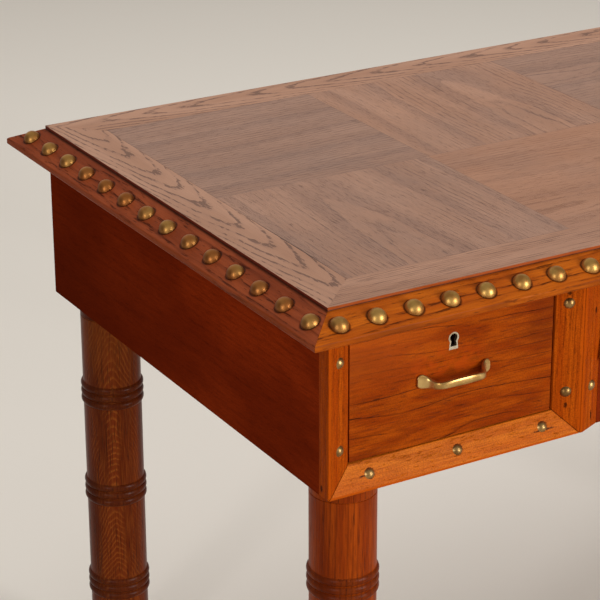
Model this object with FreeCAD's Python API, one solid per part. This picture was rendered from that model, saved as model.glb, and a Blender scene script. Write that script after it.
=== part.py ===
"""Campaign desk.

A free-standing writing desk. It has a parquetry top with a studded, bevelled
moulding, a carcass of three bays with a locking drawer in each, and four turned
legs that screw up into blocks in the corners of the carcass.

The front faces -Y and the length runs along X. The origin is on the floor, under
the middle of the desk. All sizes are in millimetres.
"""
import FreeCAD, Part
import math
import os

# ---------------------------------------------------------------- driving sizes
desk_height = 770.0

# Top: a core board, lined with parquetry squares inside a mitred border
parquet_columns = 4
parquet_rows = 2
square_length = 294.0
square_depth = 291.0
border_width = 59.0
lining_thickness = 4.0
core_thickness = 20.0

# Bevelled moulding round the top, which starts below the lining's edge
bevel_overhang = 38.0
bevel_fall = 17.5
lip_height = 8.0
lip_round = 2.5

# Domed studs along the front and end mouldings, nailed square to the slope
front_stud_count = 29
end_stud_count = 14
stud_radius = 10.5
stud_height = 9.5
stud_offset = 20.0
stud_corner_margin = 2.0
nail_radius = 1.6
nail_length = 12.0

# Carcass
carcass_inset = 2.5
carcass_height = 204.5
end_thickness = 22.0
back_thickness = 18.0
partition_thickness = 22.0
partition_proud = 10.0
rail_thickness = 18.0
top_rail_height = 18.0
side_bay_width = 335.0

# Bevelled strips that frame each drawer like a picture
strip_width = 32.0
strip_flat = 4.0
strip_thickness = 20.0
strip_inner_edge = 8.0

# Small domed pins in the strips, set by hand and so not quite evenly
pin_head_radius = 6.5
pin_head_height = 3.4
pin_shank_radius = 1.5
pin_length = 25.0
outer_pin_from_top = 47.0
inner_pin_from_top = 42.0
pin_from_bottom = 54.0
bottom_pin_pitch = 115.0
bottom_pin_shift = 3.5
centre_pin_reach = 170.0

# Drawers
centre_opening_height = 73.0
front_thickness = 20.0
front_setback = 1.5
front_gap = 2.4
front_foot_gap = 1.0
slide_clearance = 0.3
drawer_length = 560.0
drawer_side_thickness = 11.0
drawer_back_thickness = 10.0
drawer_side_drop = 8.0
drawer_bottom_thickness = 6.0
drawer_bottom_rise = 9.0
groove_depth = 5.0
dovetail_lap = 5.0
dovetail_pitch = 36.0
dovetail_slope = 7.0
pin_width = 8.0

# Runners under the drawers, kickers over them
runner_ledge = 22.0
runner_thickness = 18.0
guide_height = 40.0

# Bow handle
handle_length = 95.0
handle_reach = 23.0
handle_drop_side = 0.0
handle_drop_centre = 9.0
handle_post_radius = 2.5
handle_post_inset = 6.0

# The bow's strap, from one end to its crown. Each row holds the distance in from the
# end, the share of the reach, the strap's height, its thickness and how far it sags.
# The crown has its own row, because it lies in the middle at any handle length.
strap_rows = [
    (0.0, 0.06, 9.0, 2.6, 0.2),
    (1.5, 0.07, 13.5, 3.0, 0.2),
    (5.0, 0.09, 16.6, 3.8, 0.2),
    (9.0, 0.16, 15.2, 4.4, 0.8),
    (13.0, 0.35, 11.6, 4.8, 1.9),
    (16.0, 0.62, 9.4, 4.8, 2.2),
    (20.5, 0.84, 8.4, 4.8, 1.6),
    (28.0, 0.95, 8.8, 4.6, 0.6),
]
crown_height = 9.6
crown_thickness = 4.4
crown_sag = 0.0
strap_points = 12
strap_squareness = 0.7

# Keyhole insert and lock
keyhole_height = 20.4
keyhole_head_radius = 6.7
keyhole_waist = 9.0
keyhole_foot = 12.0
keyhole_rim = 1.9
keyhole_sill = 3.6
keyhole_depth = 4.0
keyhole_rise_side = 38.4
keyhole_rise_centre = 16.0
lock_width = 58.0
lock_height = 40.0
lock_thickness = 8.0
lock_back_wall = 2.0
lock_pin_radius = 1.0

# Legs
leg_radius = 38.4
leg_inset_x = 51.5
leg_inset_y = 54.0
collar_height = 20.0
collar_flare = 6.0
collar_cove_height = 11.0
joint_groove = 0.9
band_count = 3
band_end_distance = 129.0
reed_count = 3
reed_height = 10.6
reed_proud = 2.9
foot_chamfer = 3.0
dowel_radius = 14.0
dowel_end_clearance = 3.0
block_size = 84.0

# ---------------------------------------------------------------- derived places
top_length = parquet_columns * square_length + 2 * border_width
top_depth = parquet_rows * square_depth + 2 * border_width
edge_x = top_length / 2
edge_y = top_depth / 2
core_top = desk_height - lining_thickness
carcass_top = core_top - core_thickness
carcass_bottom = carcass_top - carcass_height
lip_top = core_top - bevel_fall
lip_bottom = lip_top - lip_height

end_face = edge_x - carcass_inset
front_face = -edge_y + carcass_inset
back_face = edge_y - carcass_inset
strip_back = front_face + strip_thickness
strip_recess = strip_thickness - strip_inner_edge
rail_back = strip_back + rail_thickness
back_inner = back_face - back_thickness
end_inner = end_face - end_thickness
top_rail_bottom = carcass_top - top_rail_height

bay_joint = end_face - side_bay_width
centre_strip_edge = bay_joint - strip_width
partition_inner = centre_strip_edge - partition_proud
partition_outer = partition_inner + partition_thickness
side_opening_outer = end_face - strip_width
side_opening_inner = bay_joint + strip_width
side_opening_bottom = carcass_bottom + strip_width
centre_opening_bottom = top_rail_bottom - centre_opening_height
centre_rail_bottom = centre_opening_bottom - strip_width

drawer_face = front_face + strip_recess + front_setback
leg_x = end_face - leg_inset_x
leg_y = edge_y - carcass_inset - leg_inset_y
block_height = side_opening_bottom - carcass_bottom
leg_top = carcass_bottom - collar_height

# Two heights or places closer than this are the same
SAME = 0.01
X_AXIS = FreeCAD.Vector(1, 0, 0)
Y_AXIS = FreeCAD.Vector(0, 1, 0)
Z_AXIS = FreeCAD.Vector(0, 0, 1)
ORIGIN = FreeCAD.Vector(0, 0, 0)


# ---------------------------------------------------------------- shape helpers
def block(x0, x1, y0, y1, z0, z1):
    """A box between two corners, given in any order."""
    size = [abs(x1 - x0), abs(y1 - y0), abs(z1 - z0)]
    corner = FreeCAD.Vector(min(x0, x1), min(y0, y1), min(z0, z1))
    return Part.makeBox(*size, corner)


def polygon(points):
    """A closed wire through points."""
    corners = [FreeCAD.Vector(*point) for point in points]
    return Part.makePolygon(corners + corners[:1])


def prism(points, direction):
    """A flat outline pushed along a direction."""
    return Part.Face(polygon(points)).extrude(FreeCAD.Vector(*direction))


def turned(profile):
    """A solid turned about the Z axis from a closed list of edges."""
    return Part.Face(Part.Wire(profile)).revolve(ORIGIN, Z_AXIS, 360)


def line(start, end):
    """A straight edge between two (radius, height) points."""
    first = FreeCAD.Vector(start[0], 0, start[1])
    last = FreeCAD.Vector(end[0], 0, end[1])
    return Part.LineSegment(first, last).toShape()


def arc(start, middle, end):
    """A round edge through three (radius, height) points."""
    points = [FreeCAD.Vector(radius, 0, height) for radius, height in (start, middle, end)]
    return Part.Arc(*points).toShape()


def mirrored_x(shape):
    """The shape's twin on the other side of the desk's middle."""
    return shape.mirror(ORIGIN, X_AXIS)


def moved(shape, x=0.0, y=0.0, z=0.0):
    """A copy of the shape, shifted."""
    twin = shape.copy()
    twin.translate(FreeCAD.Vector(x, y, z))
    return twin


def cut_by(shape, tools):
    """The shape with every tool near it taken away."""
    near = [tool for tool in tools if tool.BoundBox.intersect(shape.BoundBox)]
    return shape.cut(near) if near else shape


# ---------------------------------------------------------------- top
def top_core():
    """The board that carries the lining, level with the carcass all round."""
    return block(-end_face, end_face, front_face, back_face, carcass_top, core_top)


def parquet_squares(shade):
    """Every other parquetry square, like a chessboard's fields of shade 0 or 1."""
    squares = []
    for column in range(parquet_columns):
        for row in range(parquet_rows):
            if (column + row) % 2 != shade:
                continue
            x0 = -edge_x + border_width + column * square_length
            y0 = -edge_y + border_width + row * square_depth
            square = block(x0, x0 + square_length, y0, y0 + square_depth, core_top, desk_height)
            squares.append(square)
    return Part.makeCompound(squares)


def mitred(shape, half_length, distance, near, far):
    """The part of a long side piece between its two 45 degree mitres.

    The piece runs along X in front of the desk's middle. near and far are how far
    its back and front lie past the edge of the flat top.
    """
    plan = []
    for sign, reach in ((-1, near), (1, near), (1, far), (-1, far)):
        plan.append((sign * (half_length + reach), -distance - reach, 0.0))
    return shape.common(prism(plan, (0, 0, desk_height)))


def border_board(half_length, distance):
    """A border board, mitred at both ends."""
    y0 = -distance
    board = block(-half_length, half_length, y0, y0 + border_width, core_top, desk_height)
    plan = [(-half_length, y0), (half_length, y0)]
    plan += [(half_length - border_width, y0 + border_width)]
    plan += [(-half_length + border_width, y0 + border_width)]
    return board.common(prism([(x, y, core_top) for x, y in plan], (0, 0, lining_thickness)))


def bevel_moulding(half_length, distance):
    """A bevelled moulding with a soft lip, mitred at both ends."""
    section = [
        (-carcass_inset, core_top),
        (0.0, core_top),
        (bevel_overhang, lip_top),
        (bevel_overhang, lip_bottom),
        (-carcass_inset, lip_bottom),
    ]
    start = -half_length - bevel_overhang
    outline = [(start, -distance - reach, height) for reach, height in section]
    length = prism(outline, (-2 * start, 0, 0))
    lip_y = -distance - bevel_overhang
    lip_edges = []
    for edge in length.Edges:
        along_lip = all(abs(v.Point.y - lip_y) < SAME for v in edge.Vertexes)
        if along_lip and edge.Length > half_length:
            lip_edges.append(edge)
    soft = length.makeFillet(lip_round, lip_edges)
    return mitred(soft, half_length, distance, -carcass_inset, bevel_overhang)


def domed_nail(radius, height, shank_radius, length):
    """A domed head on a pointed shank, point down, with its rim at z = 0."""
    sphere = (radius**2 + height**2) / (2 * height)
    lean = math.asin(radius / sphere) / 2
    half_way = (sphere * math.sin(lean), height - sphere * (1 - math.cos(lean)))
    tip = (0.0, -length - shank_radius)
    profile = [
        arc((0.0, height), half_way, (radius, 0.0)),
        line((radius, 0.0), (shank_radius, 0.0)),
        line((shank_radius, 0.0), (shank_radius, -length)),
        line((shank_radius, -length), tip),
        line(tip, (0.0, height)),
    ]
    return turned(profile)


def spread(count, half_length):
    """Even places from one end of a row to the other."""
    return [half_length * (2 * i / (count - 1) - 1) for i in range(count)]


def stud_row(count, half_length, distance):
    """A row of studs along one side of the top, square to the moulding's slope."""
    slope = math.degrees(math.atan2(bevel_fall, bevel_overhang))
    height = core_top - bevel_fall * stud_offset / bevel_overhang
    tilted = domed_nail(stud_radius, stud_height, nail_radius, nail_length)
    tilted.rotate(ORIGIN, X_AXIS, slope)
    places = spread(count, half_length - stud_corner_margin)
    return [moved(tilted, place, -distance - stud_offset, height) for place in places]


def side_pieces(half_length, distance, stud_count, turn):
    """The border board, moulding and studs of one side, turned into place."""
    studs = stud_row(stud_count, half_length, distance)
    moulding = cut_by(bevel_moulding(half_length, distance), studs)
    pieces = [border_board(half_length, distance), moulding] + studs
    for piece in pieces:
        piece.rotate(ORIGIN, Z_AXIS, turn)
    return pieces[0], pieces[1], pieces[2:]


def top_nodes(nodes):
    """The core, the lining, the moulding and its studs; the back has no studs."""
    nodes["top_core"] = top_core()
    nodes["parquet_crosswise"] = parquet_squares(shade=0)
    nodes["parquet_lengthwise"] = parquet_squares(shade=1)
    all_studs = []
    sides = {
        "front": (edge_x, edge_y, front_stud_count, 0),
        "right": (edge_y, edge_x, end_stud_count, 90),
        "back": (edge_x, edge_y, 0, 180),
        "left": (edge_y, edge_x, end_stud_count, 270),
    }
    for name, side in sides.items():
        board, moulding, studs = side_pieces(*side)
        nodes["top_border_" + name] = board
        nodes["bevel_moulding_" + name] = moulding
        all_studs += studs
    nodes["bevel_studs"] = Part.makeCompound(all_studs)


# ---------------------------------------------------------------- framing strips
def strip_section():
    """A strip's outline: distance from its outer edge, and depth behind the face."""
    return [
        (0.0, 0.0),
        (strip_flat, 0.0),
        (strip_width, strip_recess),
        (strip_width, strip_thickness),
        (0.0, strip_thickness),
    ]


def mitre_wedge(corners):
    """A wedge through the strips' thickness, from three (x, z) corners."""
    outline = [(x, front_face, z) for x, z in corners]
    return prism(outline, (0, strip_thickness, 0))


def upright_strip(outer_x, inward):
    """A strip beside a drawer, cut square at head and foot."""
    outline = []
    for across, depth in strip_section():
        outline.append((outer_x + inward * across, front_face + depth, carcass_bottom))
    return prism(outline, (0, 0, carcass_height))


def mitred_foot(strip, outer_x, inward):
    """An upright strip with its foot mitred to meet a strip below the drawer."""
    inner_x = outer_x + inward * strip_width
    corners = [(outer_x, carcass_bottom), (inner_x, carcass_bottom)]
    corners.append((inner_x, carcass_bottom + strip_width))
    return strip.cut(mitre_wedge(corners))


def level_strip(x0, x1, bottom):
    """A strip under a drawer, cut square at both ends."""
    outline = []
    for across, depth in strip_section():
        outline.append((x0, front_face + depth, bottom + across))
    return prism(outline, (x1 - x0, 0, 0))


def mitred_ends(strip, x0, x1, bottom):
    """A level strip with both ends mitred to meet upright strips."""
    top = bottom + strip_width
    left = mitre_wedge([(x0, bottom), (x0, top), (x0 + strip_width, top)])
    right = mitre_wedge([(x1, bottom), (x1, top), (x1 - strip_width, top)])
    return strip.cut([left, right])


def strip_solids():
    """The nine strips by name."""
    outer = mitred_foot(upright_strip(-end_face, 1), -end_face, 1)
    inner = mitred_foot(upright_strip(-bay_joint, -1), -bay_joint, -1)
    foot = level_strip(-end_face, -bay_joint, carcass_bottom)
    foot = mitred_ends(foot, -end_face, -bay_joint, carcass_bottom)
    knee = upright_strip(-bay_joint, 1)
    under = level_strip(-centre_strip_edge, centre_strip_edge, centre_rail_bottom)
    under = under.cut([partition(), mirrored_x(partition())])
    return {
        "left_bay_strip_left": outer,
        "left_bay_strip_right": inner,
        "left_bay_strip_bottom": foot,
        "centre_bay_strip_left": knee,
        "centre_bay_strip_right": mirrored_x(knee),
        "centre_bay_strip_bottom": under,
        "right_bay_strip_left": mirrored_x(inner),
        "right_bay_strip_right": mirrored_x(outer),
        "right_bay_strip_bottom": mirrored_x(foot),
    }


def seated_pin(x, z, facing):
    """A pin square to a strip's slope, half way across it.

    facing is 1 where the slope turns the pin to the right, -1 where it turns it to
    the left and 0 where it turns it up.
    """
    slope = math.degrees(math.atan2(strip_recess, strip_width - strip_flat))
    pin = domed_nail(pin_head_radius, pin_head_height, pin_shank_radius, pin_length)
    pin.rotate(ORIGIN, X_AXIS, 90)
    if facing:
        pin.rotate(ORIGIN, Z_AXIS, facing * slope)
    else:
        pin.rotate(ORIGIN, X_AXIS, -slope)
    return moved(pin, x, front_face + strip_recess / 2, z)


def strip_pins():
    """Three pins in each strip under a drawer, one or two in each upright strip."""
    across = (strip_width + strip_flat) / 2
    outer = -end_face + across
    inner = -bay_joint - across
    low = carcass_bottom + pin_from_bottom
    places = [
        (outer, carcass_top - outer_pin_from_top, 1),
        (outer, low, 1),
        (inner, carcass_top - inner_pin_from_top, -1),
        (inner, low, -1),
        (-bay_joint + across, low, 1),
    ]
    middle = -end_face + side_bay_width / 2 + bottom_pin_shift
    for x in spread(3, bottom_pin_pitch):
        places.append((middle + x, carcass_bottom + across, 0))
    places += [(-x, z, -facing) for x, z, facing in places]
    for x in spread(3, centre_pin_reach):
        places.append((x, centre_rail_bottom + across, 0))
    return [seated_pin(*place) for place in places]


# ---------------------------------------------------------------- carcass
def leg_places():
    """The four corners by name."""
    return {
        "front_left": (-leg_x, -leg_y),
        "front_right": (leg_x, -leg_y),
        "back_left": (-leg_x, leg_y),
        "back_right": (leg_x, leg_y),
    }


def dowel_holes():
    """A pin of the dowel's radius at each corner, through collar and block."""
    height = collar_height + block_height
    hole = Part.makeCylinder(dowel_radius, height, FreeCAD.Vector(0, 0, leg_top))
    return [moved(hole, x, y) for x, y in leg_places().values()]


def corner_blocks():
    """The blocks behind the carcass corners, before they are bored."""
    x1 = end_inner - block_size
    top = side_opening_bottom
    front = block(-end_inner, -x1, rail_back, rail_back + block_size, carcass_bottom, top)
    back = block(-end_inner, -x1, back_inner - block_size, back_inner, carcass_bottom, top)
    return [front, back, mirrored_x(front), mirrored_x(back)]


def leg_blocks():
    """The corner blocks, bored for the legs' dowels."""
    return [cut_by(one, dowel_holes()) for one in corner_blocks()]


def leg_collars():
    """The coved rings between the carcass and the legs."""
    top = carcass_bottom
    cove_bottom = top - collar_cove_height
    wide = leg_radius + collar_flare
    hollow = (collar_flare**2 + collar_cove_height**2) / (2 * collar_flare)
    lean = math.asin(collar_cove_height / hollow) / 2
    out = hollow * (1 - math.cos(lean))
    middle = (leg_radius + out, cove_bottom + hollow * math.sin(lean))
    profile = [
        line((dowel_radius, leg_top), (leg_radius - joint_groove, leg_top)),
        line((leg_radius - joint_groove, leg_top), (leg_radius, leg_top + joint_groove)),
        line((leg_radius, leg_top + joint_groove), (leg_radius, cove_bottom)),
        arc((leg_radius, cove_bottom), middle, (wide, top)),
        line((wide, top), (dowel_radius, top)),
        line((dowel_radius, top), (dowel_radius, leg_top)),
    ]
    collar = turned(profile)
    return [moved(collar, x, y) for x, y in leg_places().values()]


def top_rail():
    """The rail over the drawers, from end to end."""
    return block(-end_inner, end_inner, strip_back, rail_back, top_rail_bottom, carcass_top)


def side_rails():
    """The rails under the side drawers, each from its end panel to its stile."""
    level = side_opening_bottom
    left = block(-end_inner, -side_opening_inner, strip_back, rail_back, carcass_bottom, level)
    return [left, mirrored_x(left)]


def centre_rail():
    """The rail under the centre drawer, between the partitions."""
    reach = partition_inner
    bottom = centre_rail_bottom
    return block(-reach, reach, strip_back, rail_back, bottom, centre_opening_bottom)


def front_stiles():
    """The uprights beside the partitions, behind the side bays' inner strips."""
    bottom = carcass_bottom
    top = top_rail_bottom
    left = block(-side_opening_inner, -partition_outer, strip_back, rail_back, bottom, top)
    return [left, mirrored_x(left)]


def partition():
    """The left partition, notched for the top rail and rebated for the strip."""
    outer = -partition_outer
    inner = -partition_inner
    board = block(outer, inner, strip_back, back_inner, carcass_bottom, carcass_top)
    edge_face = front_face + strip_recess
    edge = block(-centre_strip_edge, inner, edge_face, strip_back, carcass_bottom, carcass_top)
    return board.cut(top_rail()).fuse(edge).removeSplitter()


def end_panel():
    """The left end of the carcass."""
    return block(-end_face, -end_inner, strip_back, back_face, carcass_bottom, carcass_top)


def back_panel():
    """The back of the carcass, between the end panels."""
    return block(-end_inner, end_inner, back_inner, back_face, carcass_bottom, carcass_top)


def guided_runner(wall_x, opening_x, inward, level, rail_ends):
    """A ledge under a drawer's edge, with a guide that fills out the wall."""
    ledge_x = opening_x + inward * runner_ledge
    y0, y1 = rail_ends
    ledge = block(wall_x, ledge_x, y0, y1, level - runner_thickness, level)
    if opening_x == wall_x:
        return ledge
    guide = block(wall_x, opening_x, y0, y1, level, level + guide_height)
    return ledge.fuse(guide).removeSplitter()


def kicker(wall_x, opening_x, inward, level, rail_ends):
    """A strip under the top that keeps an open drawer from tipping."""
    y0, y1 = rail_ends
    return block(wall_x, opening_x + inward * runner_ledge, y0, y1, level, carcass_top)


def drawer_runners():
    """The runners and kickers of the three bays."""
    ends = (rail_back, back_inner)
    side = side_opening_bottom
    centre = centre_opening_bottom
    kick = top_rail_bottom
    outer = guided_runner(-end_inner, -side_opening_outer, 1, side, ends)
    outer = cut_by(outer, corner_blocks())
    left = [
        outer,
        guided_runner(-partition_outer, -side_opening_inner, -1, side, ends),
        guided_runner(-partition_inner, -partition_inner, 1, centre, ends),
        kicker(-end_inner, -side_opening_outer, 1, kick, ends),
        kicker(-partition_outer, -side_opening_inner, -1, kick, ends),
        kicker(-partition_inner, -partition_inner, 1, kick, ends),
    ]
    return left + [mirrored_x(one) for one in left]


def carcass_nodes(nodes):
    """The boxed frame, its strips and their pins."""
    pins = strip_pins()
    nodes["end_panel_left"] = cut_by(end_panel(), pins)
    nodes["end_panel_right"] = cut_by(mirrored_x(end_panel()), pins)
    nodes["back_panel"] = back_panel()
    nodes["partition_left"] = cut_by(partition(), pins)
    nodes["partition_right"] = cut_by(mirrored_x(partition()), pins)
    nodes["top_rail"] = top_rail()
    nodes["side_rails"] = Part.makeCompound([cut_by(one, pins) for one in side_rails()])
    nodes["centre_rail"] = cut_by(centre_rail(), pins)
    nodes["front_stiles"] = Part.makeCompound([cut_by(one, pins) for one in front_stiles()])
    nodes["drawer_runners"] = Part.makeCompound(drawer_runners())
    nodes["leg_blocks"] = Part.makeCompound(leg_blocks())
    nodes["leg_collars"] = Part.makeCompound(leg_collars())
    for name, strip in strip_solids().items():
        nodes[name] = cut_by(strip, pins)
    nodes["strip_pins"] = Part.makeCompound(pins)


# ---------------------------------------------------------------- legs
def band_centres():
    """The heights of the reeded bands, evenly spread along the leg."""
    low = band_end_distance
    high = carcass_bottom - band_end_distance
    return [low + (high - low) * i / (band_count - 1) for i in range(band_count)]


def leg():
    """A turned leg with reeded bands and a dowel on top, standing at the origin."""
    radius = leg_radius
    band_height = reed_count * reed_height
    last = (radius, foot_chamfer)
    profile = [line((0.0, 0.0), (radius - foot_chamfer, 0.0))]
    profile.append(line((radius - foot_chamfer, 0.0), last))
    for centre in band_centres():
        for reed in range(reed_count):
            foot = (radius, centre - band_height / 2 + reed * reed_height)
            if foot[1] - last[1] > SAME:
                profile.append(line(last, foot))
            crest = (radius + reed_proud, foot[1] + reed_height / 2)
            last = (radius, foot[1] + reed_height)
            profile.append(arc(foot, crest, last))
    dowel_top = side_opening_bottom - dowel_end_clearance
    corners = [last, (radius, leg_top - joint_groove), (radius - joint_groove, leg_top)]
    corners += [(dowel_radius, leg_top), (dowel_radius, dowel_top)]
    corners += [(0.0, dowel_top), (0.0, 0.0)]
    for start, end in zip(corners, corners[1:]):
        profile.append(line(start, end))
    return turned(profile)


def leg_nodes(nodes):
    """The four legs."""
    one = leg()
    for name, (x, y) in leg_places().items():
        nodes["leg_" + name] = moved(one, x, y)


# ---------------------------------------------------------------- drawers
class Bay:
    """The opening of one drawer, seen from the front."""

    def __init__(self, name, x0, x1, bottom, handle_drop, keyhole_rise):
        self.name = name
        self.x0 = x0
        self.x1 = x1
        self.bottom = bottom
        self.middle_x = (x0 + x1) / 2
        self.middle_z = (bottom + top_rail_bottom) / 2
        self.handle_z = self.middle_z - handle_drop
        self.keyhole_z = self.middle_z + keyhole_rise


def bays():
    """The three openings."""
    outer = side_opening_outer
    inner = side_opening_inner
    side = side_opening_bottom
    centre = [centre_opening_bottom, handle_drop_centre, keyhole_rise_centre]
    return [
        Bay("left", -outer, -inner, side, handle_drop_side, keyhole_rise_side),
        Bay("centre", -partition_inner, partition_inner, *centre),
        Bay("right", inner, outer, side, handle_drop_side, keyhole_rise_side),
    ]


def front_board(bay):
    """The drawer front before anything is let into it."""
    x0 = bay.x0 + front_gap
    x1 = bay.x1 - front_gap
    z0 = bay.bottom + front_foot_gap
    z1 = top_rail_bottom - front_gap
    return block(x0, x1, drawer_face, drawer_face + front_thickness, z0, z1)


def box_levels(bay):
    """The lower and upper edge of the drawer's sides."""
    return bay.bottom + slide_clearance, top_rail_bottom - drawer_side_drop


def side_board(bay):
    """The drawer's left side, with dovetails that reach into the front."""
    z0, z1 = box_levels(bay)
    x0 = bay.x0 + front_gap
    x1 = x0 + drawer_side_thickness
    root = drawer_face + front_thickness
    tip = drawer_face + dovetail_lap
    board = block(x0, x1, root, drawer_face + drawer_length, z0, z1)
    low = max(z0, bay.bottom + front_foot_gap) + pin_width
    count = max(1, round((z1 - low) / dovetail_pitch))
    pitch = (z1 - low) / count
    for i in range(count):
        foot = low + i * pitch
        head = foot + pitch - pin_width
        slant = (root - tip) / dovetail_slope
        tail = [(x0, root, foot + slant), (x0, tip, foot), (x0, tip, head), (x0, root, head - slant)]
        board = board.fuse(prism(tail, (drawer_side_thickness, 0, 0)))
    return board.removeSplitter()


def bottom_board(bay):
    """The drawer's bottom, housed in the sides and the front."""
    z0 = box_levels(bay)[0] + drawer_bottom_rise
    inset = front_gap + drawer_side_thickness - groove_depth
    y0 = drawer_face + front_thickness - groove_depth
    y1 = drawer_face + drawer_length
    return block(bay.x0 + inset, bay.x1 - inset, y0, y1, z0, z0 + drawer_bottom_thickness)


def back_board(bay):
    """The drawer's back, which stands on the bottom between the sides."""
    z0 = box_levels(bay)[0] + drawer_bottom_rise + drawer_bottom_thickness
    z1 = box_levels(bay)[1]
    inset = front_gap + drawer_side_thickness
    y1 = drawer_face + drawer_length
    return block(bay.x0 + inset, bay.x1 - inset, y1 - drawer_back_thickness, y1, z0, z1)


def keyhole_solid(inset, sill, depth):
    """A keyhole-shaped plug from the face inwards, head up, head at the origin.

    Its head and sides lie inset within the insert's outline, and its foot lies sill
    over the insert's foot.
    """
    head_radius = keyhole_head_radius - inset
    foot_z = keyhole_head_radius - keyhole_height + sill
    waist = keyhole_waist / 2 - inset
    foot = keyhole_foot / 2 - inset
    head = Part.makeCylinder(head_radius, depth, ORIGIN, Y_AXIS)
    skirt = [(-waist, 0, 0), (-foot, 0, foot_z), (foot, 0, foot_z), (waist, 0, 0)]
    return head.fuse(prism(skirt, (0, depth, 0))).removeSplitter()


def at_keyhole(shape, bay):
    """The shape moved from the origin to the bay's keyhole."""
    head_z = bay.keyhole_z + keyhole_height / 2 - keyhole_head_radius
    return moved(shape, bay.middle_x, drawer_face, head_z)


def insert_plug(bay):
    """The room that a keyhole insert fills, with the hole itself."""
    return at_keyhole(keyhole_solid(0.0, 0.0, keyhole_depth), bay)


def key_hole(bay, depth):
    """The hole for the key, from the drawer's face inwards."""
    return at_keyhole(keyhole_solid(keyhole_rim, keyhole_sill, depth), bay)


def escutcheon(bay):
    """The keyhole insert: a thin rim round the hole."""
    return insert_plug(bay).cut(key_hole(bay, keyhole_depth))


def lock(bay):
    """The lock case let into the back of the front, bored for the key's pin."""
    back = drawer_face + front_thickness
    top = top_rail_bottom - front_gap
    half = lock_width / 2
    x = bay.middle_x
    case = block(x - half, x + half, back - lock_thickness, back, top - lock_height, top)
    hole = key_hole(bay, front_thickness - lock_back_wall)
    pin = Part.makeCylinder(lock_pin_radius, front_thickness, ORIGIN, Y_AXIS)
    return case.cut(hole.cut(at_keyhole(pin, bay)))


def handle_path():
    """The bow's middle line from its left end to its right end, with its sections.

    Each row holds the place along the handle, the distance from the face, the
    strap's height, its thickness and how far it sags.
    """
    half = handle_length / 2
    rows = []
    for inset, share, height, thickness, sag in strap_rows:
        rows.append((inset - half, share * handle_reach, height, thickness, sag))
    crown = (0.0, handle_reach, crown_height, crown_thickness, crown_sag)
    return rows + [crown] + [(-row[0],) + row[1:] for row in reversed(rows)]


def squarish(part, half_size):
    """A point's distance along one axis of an oval that is nearly a rectangle."""
    return math.copysign(abs(part) ** strap_squareness * half_size, part)


def strap_section(place, out, height, thickness, sag, lean):
    """A rounded section of the strap, square to its middle line."""
    short_axis = FreeCAD.Vector(-math.sin(lean), math.cos(lean), 0)
    middle = FreeCAD.Vector(place, -out, -sag)
    points = []
    for step in range(strap_points):
        angle = 2 * math.pi * step / strap_points
        flat = squarish(math.cos(angle), height / 2)
        deep = squarish(math.sin(angle), thickness / 2)
        points.append(middle + Z_AXIS * flat + short_axis * deep)
    curve = Part.BSplineCurve()
    curve.interpolate(points, PeriodicFlag=True)
    return Part.Wire(curve.toShape())


def bow():
    """The bow handle, fixed by a post behind each foot, at the origin."""
    rows = handle_path()
    sections = [strap_section(*rows[0], 0.0)]
    for before, row, after in zip(rows, rows[1:], rows[2:]):
        lean = math.atan2(before[1] - after[1], after[0] - before[0])
        sections.append(strap_section(*row, lean))
    sections.append(strap_section(*rows[-1], 0.0))
    strap = Part.makeLoft(sections, True, False)
    root = strap_rows[0][1] * handle_reach
    for side in (-1, 1):
        start = FreeCAD.Vector(side * (handle_length / 2 - handle_post_inset), -root, 0)
        length = root + front_thickness
        strap = strap.fuse(Part.makeCylinder(handle_post_radius, length, start, Y_AXIS))
    return strap


def handle(bay):
    """The bow handle in its place on the drawer front."""
    return moved(bow(), bay.middle_x, drawer_face, bay.handle_z)


def post_holes(bay):
    """The holes for the handle's posts."""
    post_x = handle_length / 2 - handle_post_inset
    holes = []
    for side in (-1, 1):
        start = FreeCAD.Vector(bay.middle_x + side * post_x, drawer_face, bay.handle_z)
        holes.append(Part.makeCylinder(handle_post_radius, front_thickness, start, Y_AXIS))
    return holes


def drawer_nodes(nodes, bay):
    """One drawer: a dovetailed box with its handle, keyhole insert and lock."""
    left_side = side_board(bay)
    right_side = left_side.mirror(FreeCAD.Vector(bay.middle_x, 0, 0), X_AXIS)
    bottom = bottom_board(bay)
    case = lock(bay)
    lock_room = block(*lock_limits(case))
    cuts = [left_side, right_side, bottom, lock_room] + post_holes(bay)
    cuts += [key_hole(bay, front_thickness), insert_plug(bay)]
    prefix = "drawer_" + bay.name
    nodes[prefix + "_front"] = front_board(bay).cut(cuts)
    nodes[prefix + "_sides"] = Part.makeCompound([left_side.cut(bottom), right_side.cut(bottom)])
    nodes[prefix + "_back"] = back_board(bay)
    nodes[prefix + "_bottom"] = bottom
    nodes[prefix + "_handle"] = handle(bay)
    nodes[prefix + "_escutcheon"] = escutcheon(bay)
    nodes[prefix + "_lock"] = case


def lock_limits(case):
    """The corners of the lock case, for the recess that it fills."""
    box = case.BoundBox
    return box.XMin, box.XMax, box.YMin, box.YMax, box.ZMin, box.ZMax


# ---------------------------------------------------------------- output
def build():
    """Every node of the desk by name."""
    nodes = {}
    top_nodes(nodes)
    carcass_nodes(nodes)
    leg_nodes(nodes)
    for bay in bays():
        drawer_nodes(nodes, bay)
    return nodes


def main():
    """Write one STEP file for each node."""
    os.makedirs("parts", exist_ok=True)
    for name, shape in build().items():
        shape.exportStep("parts/" + name + ".step")


main()
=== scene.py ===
"""Looks for the campaign desk: woods, metals, soft edges, light and camera.

Everything is in metres in the desk's own frame: the front faces -Y, the length runs
along X, and the origin is on the floor under the middle of the desk.
"""
import math

import bpy
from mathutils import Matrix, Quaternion, Vector

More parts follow.
